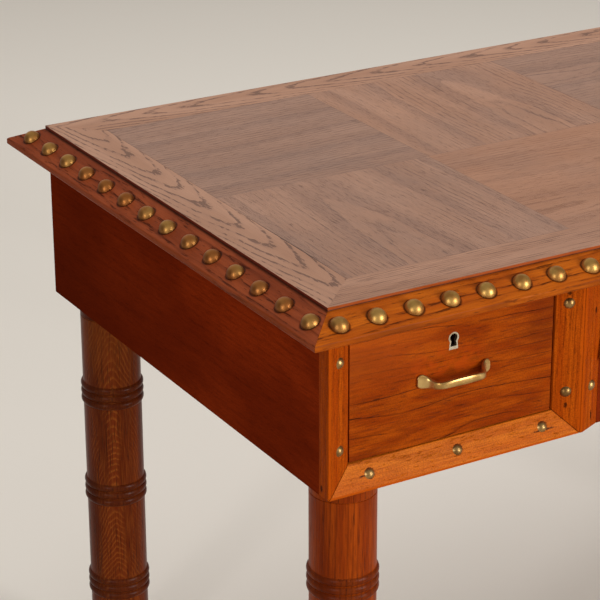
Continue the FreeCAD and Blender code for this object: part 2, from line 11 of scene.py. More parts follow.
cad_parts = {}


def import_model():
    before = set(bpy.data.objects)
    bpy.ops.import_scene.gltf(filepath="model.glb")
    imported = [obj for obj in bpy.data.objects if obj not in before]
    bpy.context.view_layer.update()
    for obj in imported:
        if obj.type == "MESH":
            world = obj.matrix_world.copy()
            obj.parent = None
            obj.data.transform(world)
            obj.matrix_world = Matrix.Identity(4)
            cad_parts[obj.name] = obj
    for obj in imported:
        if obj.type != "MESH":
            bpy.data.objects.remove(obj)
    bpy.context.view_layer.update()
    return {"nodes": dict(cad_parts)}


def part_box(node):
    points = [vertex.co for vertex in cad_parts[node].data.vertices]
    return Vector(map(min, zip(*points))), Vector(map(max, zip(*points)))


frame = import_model()
nodes = frame["nodes"]

# ---------------------------------------------------------------- sizes, in metres
top_height = 0.770
lining_foot = 0.766
square_length = 0.294
square_depth = 0.291
parquet_corner = (-2 * square_length, -square_depth, 0.0)
flat_half_length = 0.647
flat_half_depth = 0.350
carcass_end = 0.6445
carcass_foot = 0.5415
bay_joint = 0.3095
stud_offset = 0.020
stud_corner_margin = 0.002
front_stud_count = 29
end_stud_count = 14
bevel_slope = math.atan2(17.5, 38.0)
strip_slope = math.atan2(12.0, 28.0)
leg_radius = 0.0384

# The camera: its turn from +Y towards +X, its tilt down and its roll in degrees, and
# its lens and sensor in millimetres
camera_place = (-1.8117, -2.2898, 1.7190)
camera_yaw = 30.254
camera_pitch = 22.562
camera_roll = -0.201
camera_lens = 141.77
camera_sensor = 36.0

# For each direction of the grain: the axes along it, across it and into the wood
AXES = {"x": (0, 1, 2), "y": (1, 0, 2), "z": (2, 0, 1)}


def srgb(red, green, blue):
    """A colour given as it looks on screen, 0 to 255."""
    channels = []
    for value in (red, green, blue):
        value /= 255
        low = value / 12.92
        high = ((value + 0.055) / 1.055) ** 2.4
        channels.append(low if value <= 0.04045 else high)
    return (*channels, 1.0)


# ---------------------------------------------------------------- node trees
class Graph:
    """A node tree, with a short call for each kind of node it uses.

    place is a point in the piece's own space, the desk's frame at rest, and facing is
    the way its surface faces there. direction is the way a world is looked at.
    """

    def __init__(self, holder):
        holder.use_nodes = True
        self.holder = holder
        self.tree = holder.node_tree
        spot = self.add("ShaderNodeTexCoord")
        self.place = spot.outputs["Object"]
        self.facing = spot.outputs["Normal"]
        self.direction = spot.outputs["Generated"]

    def add(self, kind):
        """A new node of that kind."""
        return self.tree.nodes.new(kind)

    def put(self, socket, value):
        """Link a socket to another node's output, or set its value."""
        if isinstance(value, bpy.types.NodeSocket):
            self.tree.links.new(value, socket)
        else:
            socket.default_value = value

    def math(self, operation, first, second=0.0, third=0.0):
        """The result of a sum on numbers."""
        node = self.add("ShaderNodeMath")
        node.operation = operation
        for socket, value in zip(node.inputs, (first, second, third)):
            self.put(socket, value)
        return node.outputs[0]

    def sum(self, *values):
        """Several numbers added up."""
        total = values[0]
        for value in values[1:]:
            total = self.math("ADD", total, value)
        return total

    def product(self, *values):
        """Several numbers multiplied."""
        total = values[0]
        for value in values[1:]:
            total = self.math("MULTIPLY", total, value)
        return total

    def vector(self, operation, first, second=(0.0, 0.0, 0.0), result=0):
        """The result of a sum on vectors."""
        node = self.add("ShaderNodeVectorMath")
        node.operation = operation
        self.put(node.inputs[0], first)
        self.put(node.inputs[1], second)
        return node.outputs[result]

    def dot(self, vector, direction):
        """How much of a vector lies along a direction."""
        return self.vector("DOT_PRODUCT", vector, direction, "Value")

    def length(self, vector):
        """How long a vector is."""
        return self.vector("LENGTH", vector, result="Value")

    def split(self, vector):
        """A vector's three numbers."""
        node = self.add("ShaderNodeSeparateXYZ")
        self.put(node.inputs[0], vector)
        return list(node.outputs)

    def join(self, x, y, z):
        """A vector from three numbers."""
        node = self.add("ShaderNodeCombineXYZ")
        for socket, value in zip(node.inputs, (x, y, z)):
            self.put(socket, value)
        return node.outputs[0]

    def noise(self, vector, detail=2.0, roughness=0.5):
        """Soft noise of period 1, from 0 to 1."""
        node = self.add("ShaderNodeTexNoise")
        self.put(node.inputs["Vector"], vector)
        self.put(node.inputs["Scale"], 1.0)
        self.put(node.inputs["Detail"], detail)
        self.put(node.inputs["Roughness"], roughness)
        return node.outputs["Fac"]

    def clouds(self, per_metre, detail=3.0, roughness=0.5):
        """Noise in the object's space with that many waves a metre."""
        spot = self.vector("MULTIPLY", self.place, (per_metre, per_metre, per_metre))
        return self.noise(spot, detail, roughness)

    def curve(self, value, low, high, start=0.0, end=1.0):
        """start below low, end above high, and a smooth change between them."""
        node = self.add("ShaderNodeMapRange")
        node.interpolation_type = "SMOOTHSTEP"
        limits = {"From Min": low, "From Max": high, "To Min": start, "To Max": end}
        for name, number in limits.items():
            self.put(node.inputs[name], number)
        self.put(node.inputs["Value"], value)
        return node.outputs["Result"]

    def pick(self, number, table):
        """The table's entry for a whole number, counted from 0."""
        node = self.add("ShaderNodeValToRGB")
        ramp = node.color_ramp
        ramp.interpolation = "CONSTANT"
        while len(ramp.elements) < len(table):
            ramp.elements.new(0.5)
        for i, entry in enumerate(table):
            ramp.elements[i].position = i / len(table)
            ramp.elements[i].color = (entry, entry, entry, 1.0)
        share = self.math("DIVIDE", self.math("ADD", number, 0.5), len(table))
        self.put(node.inputs[0], share)
        return node.outputs[0]

    def mix(self, amount, first, second):
        """A colour between two."""
        node = self.add("ShaderNodeMix")
        node.data_type = "RGBA"
        factor, under, over = node.inputs[0], node.inputs[6], node.inputs[7]
        for socket, value in ((factor, amount), (under, first), (over, second)):
            self.put(socket, value)
        return node.outputs[2]

    def bump(self, height, distance):
        """A surface relief; distance is its depth in metres."""
        node = self.add("ShaderNodeBump")
        node.inputs["Distance"].default_value = distance
        self.put(node.inputs["Height"], height)
        return node.outputs[0]

    def finish(self, colour, roughness, normal=None, **fixed):
        """Fill in the shader; fixed holds values that are the same all over."""
        shader = self.tree.nodes["Principled BSDF"]
        self.put(shader.inputs["Base Color"], colour)
        self.put(shader.inputs["Roughness"], roughness)
        if normal is not None:
            self.put(shader.inputs["Normal"], normal)
        for name, value in fixed.items():
            self.put(shader.inputs[name.replace("_", " ")], value)
        return self.holder


def new_graph(name):
    """The node tree of a new material."""
    return Graph(bpy.data.materials.new(name))


# ---------------------------------------------------------------- wood
# A wood's look. ring: metres between growth rings. pith: how far aside and below the
# board's middle the tree's heart lay. taper: how fast the rings drift along the grain.
# wave and ripple: how far the rings stray, slowly and quickly. early: where the dark,
# porous part of a ring fades out. band: metres between broad bands of darker rings.
# lines, bands, pores, fibres, grit, fade: how strongly each shows. open and crowd: how
# rare pores are, and how much they gather in the dark part of a ring. The *_along and
# *_across numbers are waves per metre along and across the grain; grit_waves are those
# of the grit, which is the same either way.
PLAIN = {
    "ring": 0.006, "pith": (0.0, 0.05), "taper": 0.05, "early": (0.12, 0.45),
    "wave": 0.006, "wave_along": 5.0, "wave_across": 14.0,
    "ripple": 0.0012, "ripple_along": 28.0, "ripple_across": 120.0,
    "lines": 0.5, "fade": 0.6, "fade_along": 6.0, "fade_across": 60.0,
    "pores": 0.6, "open": 0.66, "crowd": 0.20, "pore_along": 30.0, "pore_across": 420.0,
    "patch_along": 3.5, "patch_across": 22.0, "band": 0.030, "bands": 0.0,
    "fibres": 0.3, "fibre_along": 34.0, "fibre_across": 600.0,
    "grit": 0.12, "grit_waves": 700.0,
}
# Where the dark part of a broad band fades out, and the depth of pores in metres
BAND_EARLY = (0.12, 0.40)
pore_depth = 0.0003
DARK_BROWN = srgb(42, 16, 7)


class Board:
    """A place inside a piece of wood, in the piece's own axes.

    A pith stands in for the look's own, and calm is how far the ring lines are lost.
    """

    def __init__(self, graph, direction, centre, seed):
        local = graph.vector("SUBTRACT", graph.place, centre)
        parts = graph.split(local)
        self.along, self.across, self.deep = [parts[axis] for axis in AXES[direction]]
        self.seed = seed
        self.pith = None
        self.calm = 0.0


def stretched(graph, board, along, across, detail=2.0, roughness=0.5):
    """Noise drawn out along the grain; along and across are waves per metre."""
    spot = graph.join(
        graph.math("MULTIPLY_ADD", board.along, along, board.seed),
        graph.math("MULTIPLY_ADD", board.across, across, board.seed),
        graph.math("MULTIPLY", board.deep, across),
    )
    return graph.noise(spot, detail, roughness)


def ring_place(graph, board, look):
    """How far out in the tree a place is, in metres, wavering as rings do."""
    aside, below = board.pith or look["pith"]
    sideways = graph.math("SUBTRACT", board.across, aside)
    inward = graph.math("ADD", board.deep, below)
    square = graph.math("MULTIPLY", sideways, sideways)
    distance = graph.math("SQRT", graph.math("MULTIPLY_ADD", inward, inward, square))
    waves = stretched(graph, board, look["wave_along"], look["wave_across"])
    ripple = stretched(graph, board, look["ripple_along"], look["ripple_across"], 3.0)
    drift = graph.product(board.along, look["taper"])
    stray = graph.sum(graph.product(waves, look["wave"]), graph.product(ripple, look["ripple"]))
    return graph.sum(distance, drift, stray)


def ring_lines(graph, distance, spacing, early):
    """1 in the dark, porous part of every ring and 0 elsewhere."""
    rings = graph.math("FRACT", graph.math("DIVIDE", distance, spacing))
    rise = graph.curve(rings, 0.0, early[0] * 0.5)
    return graph.product(rise, graph.curve(rings, early[0], early[1], 1.0, 0.0))


def grain(graph, board, tones, look):
    """The wood's colour, and how deep its pores and fibres are cut."""
    look = {**PLAIN, **look}
    light, middle, dark, pore = tones
    distance = ring_place(graph, board, look)
    clear = graph.math("SUBTRACT", 1.0, board.calm)
    fading = stretched(graph, board, look["fade_along"], look["fade_across"])
    early = graph.product(
        ring_lines(graph, distance, look["ring"], look["early"]), clear,
        graph.curve(fading, 0.35, 0.65, 1.0 - look["fade"]),
    )
    band = ring_lines(graph, distance, look["band"], BAND_EARLY)
    band = graph.product(band, look["bands"])
    gather = graph.math("MAXIMUM", early, band)
    dashes = stretched(graph, board, look["pore_along"], look["pore_across"], 2.0, 0.6)
    limit = graph.math("MULTIPLY_ADD", gather, -look["crowd"], look["open"])
    pores = graph.curve(graph.math("SUBTRACT", dashes, limit), -0.03, 0.09)
    streaks = stretched(graph, board, look["fibre_along"], look["fibre_across"])
    fibres = graph.curve(streaks, 0.35, 0.75)
    patches = stretched(graph, board, look["patch_along"], look["patch_across"], 3.0)
    grit = graph.curve(graph.clouds(look["grit_waves"]), 0.35, 0.75)
    tone = graph.mix(graph.curve(patches, 0.35, 0.68), middle, light)
    tone = graph.mix(band, tone, dark)
    tone = graph.mix(graph.product(early, look["lines"]), tone, dark)
    tone = graph.mix(graph.product(fibres, look["fibres"]), tone, dark)
    tone = graph.mix(graph.product(grit, look["grit"]), tone, pore)
    tone = graph.mix(graph.product(pores, look["pores"]), tone, pore)
    return tone, pores, fibres


def polish(graph, tone, pores, fibres, roughness, shine):
    """Close a wood off with its polish, duller in the pores."""
    rough = graph.math("MULTIPLY_ADD", pores, 0.15, roughness)
    relief = graph.math("MULTIPLY_ADD", fibres, 0.25, graph.product(pores, -1.0))
    normal = graph.bump(relief, pore_depth)
    return graph.finish(tone, rough, normal, Specular_IOR_Level=shine)


def middle_of(node):
    """The middle of a node's box."""
    low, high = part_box(node)
    return tuple((low + high) / 2)


def seed_of(node):
    """A number of its own for every node's grain."""
    return (sum(ord(letter) for letter in node) % 97) * 1.37


def plain_wood(node, direction, tones, look, roughness=0.35, shine=0.25):
    """A material for one node that is a single board, or several alike."""
    graph = new_graph(node)
    board = Board(graph, direction, middle_of(node), seed_of(node))
    tone, pores, fibres = grain(graph, board, tones, look)
    return polish(graph, tone, pores, fibres, roughness, shine)


def reach(graph, spot, half_sizes):
    """How far a place is from a spot, counted in half sizes along X, Y and Z."""
    away = graph.vector("SUBTRACT", graph.place, spot)
    return graph.length(graph.vector("DIVIDE", away, half_sizes))


def nearness(graph, spot, half_sizes):
    """1 at a spot, 0 beyond its half sizes, with a ragged edge."""
    away = reach(graph, spot, half_sizes)
    ragged = graph.math("MULTIPLY_ADD", graph.clouds(500.0), 0.9, away)
    return graph.curve(ragged, 0.85, 1.5, 1.0, 0.0)


def marked(graph, tone, marks):
    """Small dark marks: rows of a place and half sizes along X, Y and Z."""
    for spot, half_sizes in marks:
        dark = graph.product(nearness(graph, spot, half_sizes), 0.85)
        tone = graph.mix(dark, tone, DARK_BROWN)
    return tone


# ---------------------------------------------------------------- the top's woods
TOP_TONES = [srgb(190, 144, 118), srgb(175, 129, 103), srgb(134, 101, 88), srgb(92, 72, 66)]
FADED = srgb(136, 112, 102)
WARM = srgb(174, 120, 88)
FRONT_VARNISH = srgb(158, 70, 6)
# The ends' edges have the front's varnish painted darker, as painted shade on the ends
SHADED_END_VARNISH = srgb(104, 32, 10)
SPLIT = srgb(58, 40, 36)
PARQUET = {
    "ring": 0.0068, "taper": 0.035, "wave": 0.020, "ripple": 0.0022, "lines": 0.48,
    "early": (0.10, 0.34), "bands": 0.30, "band": 0.060, "pores": 0.45, "open": 0.62,
    "crowd": 0.18, "pore_along": 56.0, "pore_across": 640.0, "fade": 0.5, "fibres": 0.35,
}
# The parquetry's split beside its left border: its middle and half sizes
split_middle = (-2 * square_length, -0.17, top_height)
split_sizes = (0.0016, 0.12, 0.01)


def squares(graph):
    """A place's column of squares, and where it lies in its square."""
    corner = graph.vector("SUBTRACT", graph.place, parquet_corner)
    x, y, _ = graph.split(corner)
    column = graph.math("FLOOR", graph.math("DIVIDE", x, square_length))
    row = graph.math("FLOOR", graph.math("DIVIDE", y, square_depth))
    inside_x = graph.math("MULTIPLY_ADD", graph.math("ADD", column, 0.5), -square_length, x)
    inside_y = graph.math("MULTIPLY_ADD", graph.math("ADD", row, 0.5), -square_depth, y)
    return column, inside_x, inside_y


# The squares by column from the left: where their pith lay, as a share of the log's
# width, their grain's seed, how faded and warm they are, and how far their ring lines
# are lost
LENGTHWISE = {
    "aside": (0.95, 0.30, 0.60, 0.85), "seed": (0.13, 0.58, 0.31, 0.77),
    "faded": (0.34, 0.0, 0.35, 0.15), "warm": (0.0, 0.45, 0.0, 0.2),
    "calm": (0.0, 0.5, 0.2, 0.4),
}
CROSSWISE = {
    "aside": (0.42, 0.62, 0.90, 0.45), "seed": (0.44, 0.21, 0.66, 0.92),
    "faded": (0.15, 0.0, 0.20, 0.30), "warm": (0.0, 0.05, 0.1, 0.0),
    "calm": (0.6, 0.7, 0.0, 0.5),
}
# The log's width, and how far below the squares its pith lay
log_width = 0.4
pith_depth = 0.045


def parquet(name, direction, table):
    """Matt oak squares, each with rings, figure and shade of its own."""
    graph = new_graph("parquet_" + name)
    column, inside_x, inside_y = squares(graph)
    choice = {key: graph.pick(column, table[key]) for key in table}
    seed = graph.product(choice["seed"], 50.0)
    board = Board(graph, direction, (0.0, 0.0, top_height), seed)
    board.along, board.across = inside_x, inside_y
    if direction == "y":
        board.along, board.across = inside_y, inside_x
    aside = graph.math("MULTIPLY_ADD", choice["aside"], log_width, -log_width / 2)
    board.pith = (aside, pith_depth)
    patches = graph.curve(stretched(graph, board, 2.0, 16.0), 0.42, 0.55)
    board.calm = graph.product(choice["calm"], patches)
    tone, pores, fibres = grain(graph, board, TOP_TONES, PARQUET)
    tone = graph.mix(choice["faded"], tone, FADED)
    tone = graph.mix(choice["warm"], tone, WARM)
    clouds = graph.curve(graph.clouds(9.0), 0.40, 0.70)
    tone = graph.mix(graph.product(clouds, 0.22), tone, FADED)
    to_end = graph.math("SUBTRACT", square_length / 2, graph.math("ABSOLUTE", inside_x))
    to_side = graph.math("SUBTRACT", square_depth / 2, graph.math("ABSOLUTE", inside_y))
    joint = graph.curve(graph.math("MINIMUM", to_end, to_side), 0.0002, 0.0012, 0.25, 0.0)
    tone = graph.mix(joint, tone, TOP_TONES[3])
    if direction == "y":
        split = nearness(graph, split_middle, split_sizes)
        tone = graph.mix(graph.product(split, 0.8), tone, SPLIT)
    return polish(graph, tone, pores, fibres, 0.55, 0.3)


def border(node, direction, look):
    """A border board of the top: a matt face, a varnished edge, darker along its foot."""
    graph = new_graph(node)
    board = Board(graph, direction, middle_of(node), 11.0)
    tone, pores, fibres = grain(graph, board, TOP_TONES, look)
    height = graph.split(graph.place)[2]
    up = graph.split(graph.facing)[2]
    side = graph.curve(up, 0.3, 0.7, 1.0, 0.0)
    # The foot of the edge, in the corner of the step, is darkened.
    step = graph.curve(height, lining_foot + 0.0002, lining_foot + 0.0020, 0.85, 0.0)
    # On the ends the edge takes the darker varnish, which is painted shade.
    varnish = FRONT_VARNISH if direction == "x" else SHADED_END_VARNISH
    tone = graph.mix(side, tone, graph.mix(step, varnish, DARK_BROWN))
    return polish(graph, tone, pores, fibres, 0.55, 0.2)


CATHEDRAL = {
    "pith": (0.008, 0.026), "taper": -0.085, "ring": 0.0060, "wave": 0.012, "lines": 0.30,
    "early": (0.16, 0.52), "open": 0.74, "crowd": 0.36, "pores": 0.60, "fade": 0.40,
    "pore_along": 80.0, "pore_across": 330.0, "ripple": 0.0030, "fibres": 0.15,
}
QUARTERED = {
    "pith": (0.18, 0.05), "taper": 0.006, "ring": 0.0042, "wave": 0.004, "lines": 0.45,
    "pores": 0.5, "open": 0.62, "crowd": 0.14, "pore_along": 20.0, "pore_across": 520.0,
}


# ---------------------------------------------------------------- the moulding
FRONT_MOULDING = [srgb(192, 98, 20), srgb(170, 78, 14), srgb(112, 44, 8), srgb(60, 24, 7)]
END_MOULDING = [srgb(160, 77, 42), srgb(138, 62, 32), srgb(100, 41, 20), srgb(58, 22, 12)]
FRONT_WORN = srgb(128, 60, 16)
END_WORN = srgb(136, 60, 20)
MOULDING = {
    "pith": (0.10, 0.06), "taper": 0.02, "ring": 0.007, "wave": 0.016, "lines": 0.6,
    "pores": 0.65, "open": 0.64, "crowd": 0.16, "pore_along": 50.0,
    "pore_across": 420.0, "fade": 0.8, "patch_along": 8.0, "patch_across": 40.0,
}


def near_stud(graph, along, across, count, half_length, half_width):
    """How far a place on the moulding is from its nearest stud, in metres."""
    half_row = half_length - stud_corner_margin
    pitch = 2 * half_row / (count - 1)
    steps = graph.math("MULTIPLY_ADD", along, 1 / pitch, half_row / pitch + 0.5)
    steps = graph.math("FRACT", steps)
    aside = graph.product(graph.math("SUBTRACT", steps, 0.5), pitch)
    past = graph.math("SUBTRACT", graph.math("ABSOLUTE", across), half_width + stud_offset)
    down = graph.math("DIVIDE", past, math.cos(bevel_slope))
    return graph.math("SQRT", graph.sum(graph.product(aside, aside), graph.product(down, down)))


def moulding(node, direction, tones, worn, count):
    """Varnished moulding: darker round its studs and at the foot of its step, a worn lip."""
    graph = new_graph(node)
    board = Board(graph, direction, middle_of(node), 5.0)
    tone, pores, fibres = grain(graph, board, tones, MOULDING)
    x, y, z = graph.split(graph.place)
    up = graph.split(graph.facing)[2]
    lip = graph.curve(up, 0.35, 0.75, 1.0, 0.0)
    rubbed = graph.curve(stretched(graph, board, 20.0, 60.0), 0.35, 0.65, 0.2, 0.8)
    tone = graph.mix(graph.product(lip, rubbed), tone, worn)
    # Darker at the foot of the step, and in a ring round each stud.
    in_step = 0.35 if direction == "x" else 0.8
    darkening = graph.curve(z, lining_foot - 0.0015, lining_foot, 0.0, in_step)
    if count:
        sizes = (flat_half_length, flat_half_depth)
        if direction == "x":
            away = near_stud(graph, x, y, count, *sizes)
        else:
            away = near_stud(graph, y, x, count, *reversed(sizes))
        darkening = graph.math("MAXIMUM", darkening, graph.curve(away, 0.0112, 0.0136, 0.8, 0.0))
    tone = graph.mix(darkening, tone, DARK_BROWN)
    return polish(graph, tone, pores, fibres, 0.34, 0.03)


# ---------------------------------------------------------------- carcass, drawers, legs
STRIP_UPRIGHT = [srgb(190, 86, 12), srgb(172, 70, 8), srgb(128, 46, 6), srgb(76, 28, 6)]
# The level strips are painted lighter and pinker than the uprights: painted light and sheen on
# their upturned slopes
STRIP_LEVEL_LIT = [srgb(216, 118, 28), srgb(202, 100, 18), srgb(160, 72, 12), srgb(100, 42, 10)]
DRAWER = [srgb(172, 76, 8), srgb(144, 54, 4), srgb(82, 28, 5), srgb(50, 19, 5)]
KNOT = srgb(176, 66, 10)
DRAWER_LIT = srgb(206, 98, 30)
DRAWER_LIP_SHADOW = srgb(74, 26, 8)
KEYHOLE_SHADE = srgb(20, 9, 5)
PANEL = [srgb(152, 54, 18), srgb(128, 42, 13), srgb(94, 28, 9), srgb(56, 17, 7)]
PANEL_PAINTED_SHADE = srgb(78, 24, 9)
STRIP_FLAT = srgb(176, 74, 8)
LEG = [srgb(164, 70, 13), srgb(138, 52, 9), srgb(84, 27, 6), srgb(46, 15, 5)]
DARK_LEG = [srgb(108, 42, 14), srgb(88, 33, 10), srgb(60, 22, 8), srgb(34, 13, 6)]
GOLDEN = srgb(150, 82, 30)
GOLDEN_LEG = [srgb(108, 42, 14), srgb(88, 33, 10), GOLDEN, srgb(34, 13, 6)]
REEDS = srgb(54, 18, 8)
INNER = [srgb(190, 150, 104), srgb(172, 130, 86), srgb(140, 98, 60), srgb(104, 70, 44)]
LINING = [srgb(214, 184, 138), srgb(198, 164, 116), srgb(168, 130, 84), srgb(128, 96, 62)]
raw_wood = 0.6  # the roughness of wood without polish

FIGURED = {
    "pith": (0.05, 0.09), "taper": 0.02, "ring": 0.013, "wave": 0.036, "wave_along": 4.0,
    "wave_across": 9.0, "lines": 0.9, "early": (0.03, 0.11), "fade": 0.9, "pores": 0.6,
    "open": 0.66, "crowd": 0.14, "pore_along": 40.0, "pore_across": 520.0,
    "patch_along": 12.0, "patch_across": 60.0, "fibres": 0.4, "fibre_across": 520.0,
    "grit": 0.35,
}
QUIET = {
    "pith": (0.15, 0.08), "taper": 0.01, "ring": 0.006, "wave": 0.006, "lines": 0.25,
    "pores": 0.40, "open": 0.64, "crowd": 0.08, "pore_along": 90.0, "pore_across": 560.0,
    "grit": 0.2,
}
FRAMING = {
    **QUIET, "lines": 0.45, "fibres": 0.55, "grit": 0.45, "wave": 0.010,
    "patch_across": 70.0,
}
STILL = {
    **QUIET, "lines": 0.16, "pores": 0.20, "fibres": 0.35, "fibre_across": 380.0,
    "grit": 0.30, "patch_along": 6.0, "patch_across": 16.0,
}
STRAIGHT_LEG = {
    "pith": (0.05, 0.05), "taper": 0.02, "ring": 0.0062, "wave": 0.008, "lines": 0.45,
    "early": (0.16, 0.5), "pores": 0.5, "open": 0.64, "crowd": 0.08, "pore_along": 30.0,
    "pore_across": 560.0, "fade": 0.7, "fibres": 0.45, "patch_along": 5.0, "patch_across": 60.0,
}
CHEVRON_LEG = {
    **STRAIGHT_LEG, "pith": (-0.0122, 0.0256), "taper": 0.34, "ring": 0.0036, "wave": 0.032,
    "wave_along": 7.0, "wave_across": 10.0, "early": (0.15, 0.50), "lines": 0.65, "fade": 1.0,
    "ripple": 0.0040, "pores": 0.55, "open": 0.60, "fibres": 0.3,
}
# A drawer front's knot: its place beside and above the middle, and its half sizes
knot_place = (-0.010, 0.014)
knot_sizes = (0.045, 1.0, 0.020)
# The side of a back leg that shows chevrons, along X and Y
chevron_side = (-0.43, -0.90)
# Dark marks on the left bay's strips: a place and half sizes, in metres
STRIP_MARKS = [
    ((-0.3275, -0.3415, 0.7164), (0.0030, 0.010, 0.0034)),
    ((-0.3270, -0.3417, 0.5788), (0.0026, 0.010, 0.0042)),
    ((-0.2882, -0.3400, 0.6869), (0.0026, 0.010, 0.0060)),
    ((-0.2900, -0.3408, 0.5570), (0.0018, 0.010, 0.0080)),
    ((-0.3575, -0.3430, 0.5558), (0.0210, 0.010, 0.0014)),
    ((-0.5980, -0.3420, 0.5584), (0.0050, 0.010, 0.0014)),
    ((-0.6445, -0.3334, 0.5514), (0.0100, 0.003, 0.0060)),
]


def panel(node):
    """A varnished panel with painted shade, darker towards its back and its lower edge."""
    graph = new_graph(node)
    board = Board(graph, "y", middle_of(node), seed_of(node))
    tone, pores, fibres = grain(graph, board, PANEL, STILL)
    _, y, z = graph.split(graph.place)
    # Painted shade: light falling off towards the panel's back and its foot.
    to_back = graph.curve(y, -0.20, 0.36, 0.0, 0.50)
    to_foot = graph.curve(z, 0.55, 0.70, 0.25, 0.0)
    tone = graph.mix(graph.sum(to_back, to_foot), tone, PANEL_PAINTED_SHADE)
    return polish(graph, tone, pores, fibres, 0.4, 0.0)


def strip(node, direction, tones, shine):
    """A framing strip: its flat is browner, and an outer bay's mitres are dark along their
    joints.
    """
    graph = new_graph(node)
    board = Board(graph, direction, middle_of(node), seed_of(node))
    tone, pores, fibres = grain(graph, board, tones, FRAMING)
    x, _, z = graph.split(graph.place)
    front = graph.curve(graph.split(graph.facing)[1], -0.99, -0.95, 0.75, 0.0)
    tone = graph.mix(front, tone, STRIP_FLAT)
    if not node.startswith("centre"):
        level = graph.math("SUBTRACT", z, carcass_foot)
        side = graph.math("ABSOLUTE", x)
        for edge, inward in ((carcass_end, -1.0), (bay_joint, 1.0)):
            across = graph.product(graph.math("SUBTRACT", side, edge), inward)
            off = graph.math("ABSOLUTE", graph.math("SUBTRACT", across, level))
            tone = graph.mix(graph.curve(off, 0.0003, 0.0011, 0.6, 0.0), tone, DARK_BROWN)
    tone = marked(graph, tone, STRIP_MARKS)
    return polish(graph, tone, pores, fibres, 0.35, shine)


def inside_keyhole(graph, front):
    """Nearly 1 behind a drawer front's face, where its keyhole is, and 0 elsewhere."""
    low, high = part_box(front.replace("_front", "_escutcheon"))
    middle = tuple((low + high) / 2)
    x, y, z = graph.split(graph.vector("SUBTRACT", graph.place, middle))
    tall = graph.math("MULTIPLY", graph.math("ABSOLUTE", z), 0.65)
    beside = graph.math("MAXIMUM", graph.math("ABSOLUTE", x), tall)
    behind = graph.curve(y, -0.0015, 0.0, 0.0, 0.9)
    return graph.product(behind, graph.curve(beside, 0.007, 0.009, 1.0, 0.0))


def drawer_front(node):
    """A drawer front: a knot behind its handle, painted light on its upper left, a painted
    shadow along its top under the moulding, painted shade in its keyhole.
    """
    graph = new_graph(node)
    middle = middle_of(node)
    board = Board(graph, "x", middle, seed_of(node))
    x, _, z = graph.split(graph.vector("SUBTRACT", graph.place, middle))
    knot = (middle[0] + knot_place[0], middle[1], middle[2] + knot_place[1])
    away = reach(graph, knot, knot_sizes)
    pull = graph.curve(away, 0.0, 2.2, -0.75, 0.0)
    above = graph.math("SUBTRACT", z, knot_place[1])
    board.across = graph.sum(graph.product(above, pull), board.across)
    tone, pores, fibres = grain(graph, board, DRAWER, FIGURED)
    mottle = graph.curve(graph.clouds(60.0), 0.4, 0.6)
    mottle = graph.product(graph.curve(away, 0.4, 1.5, 0.6, 0.0), mottle)
    tone = graph.mix(mottle, tone, KNOT)
    shade = graph.curve(graph.clouds(13.0, 2.0), 0.48, 0.68, 0.0, 0.35)
    tone = graph.mix(shade, tone, DRAWER[2])
    # Painted light: the upper left is painted lighter, where more light fell.
    leftward = graph.curve(x, -0.09, 0.02, 0.30, 0.0)
    faded = graph.product(leftward, graph.curve(z, -0.02, 0.06))
    tone = graph.mix(faded, tone, DRAWER_LIT)
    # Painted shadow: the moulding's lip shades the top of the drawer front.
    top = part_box(node)[1][2] - middle[2]
    lip_shadow = graph.curve(z, top - 0.010, top - 0.001, 0.0, 0.5)
    tone = graph.mix(lip_shadow, tone, DRAWER_LIP_SHADOW)
    # Painted shade: the walls inside the keyhole are painted nearly black.
    tone = graph.mix(inside_keyhole(graph, node), tone, KEYHOLE_SHADE)
    return polish(graph, tone, pores, fibres, 0.32, 0.03)


def leg(node):
    """A leg with dark reeds; a back one has chevrons of rings on one side."""
    graph = new_graph(node)
    board = Board(graph, "z", middle_of(node), seed_of(node))
    back = node.startswith("leg_back")
    tone, pores, fibres = grain(graph, board, DARK_LEG if back else LEG, STRAIGHT_LEG)
    if back:
        golden = grain(graph, board, GOLDEN_LEG, CHEVRON_LEG)[0]
        toward = graph.sum(
            graph.product(board.across, chevron_side[0]),
            graph.product(board.deep, chevron_side[1]),
        )
        tone = graph.mix(graph.curve(toward, 0.014, 0.033), tone, golden)
        height = graph.split(graph.place)[2]
        tone = graph.mix(graph.curve(height, 0.42, 0.50, 0.0, 0.2), tone, GOLDEN)
    across = graph.product(board.across, board.across)
    deep = graph.product(board.deep, board.deep)
    away = graph.math("SQRT", graph.sum(across, deep))
    reeds = graph.curve(away, leg_radius + 0.0002, leg_radius + 0.0010, 0.0, 0.5)
    tone = graph.mix(reeds, tone, REEDS)
    return polish(graph, tone, pores, fibres, 0.28, 0.06)


# ---------------------------------------------------------------- metals
# A metal's bright and dull colours, and its roughness
STUDS = (srgb(204, 160, 88), srgb(178, 126, 64), 0.34)
PINS = (srgb(164, 130, 80), srgb(122, 88, 46), 0.28)
HANDLE = (srgb(206, 170, 108), srgb(172, 132, 74), 0.24)
ESCUTCHEON = (srgb(176, 164, 140), srgb(142, 126, 100), 0.30)
LOCK = (srgb(60, 48, 28), srgb(36, 28, 16), 0.40)
COPPER = srgb(176, 104, 50)
# A painted dark reflection on the end studs
END_STUD_DARK_REFLECTION = srgb(92, 46, 20)
STUD_RIM = srgb(60, 34, 12)
PIN_RIM = srgb(52, 30, 12)
metal_relief = 0.00003


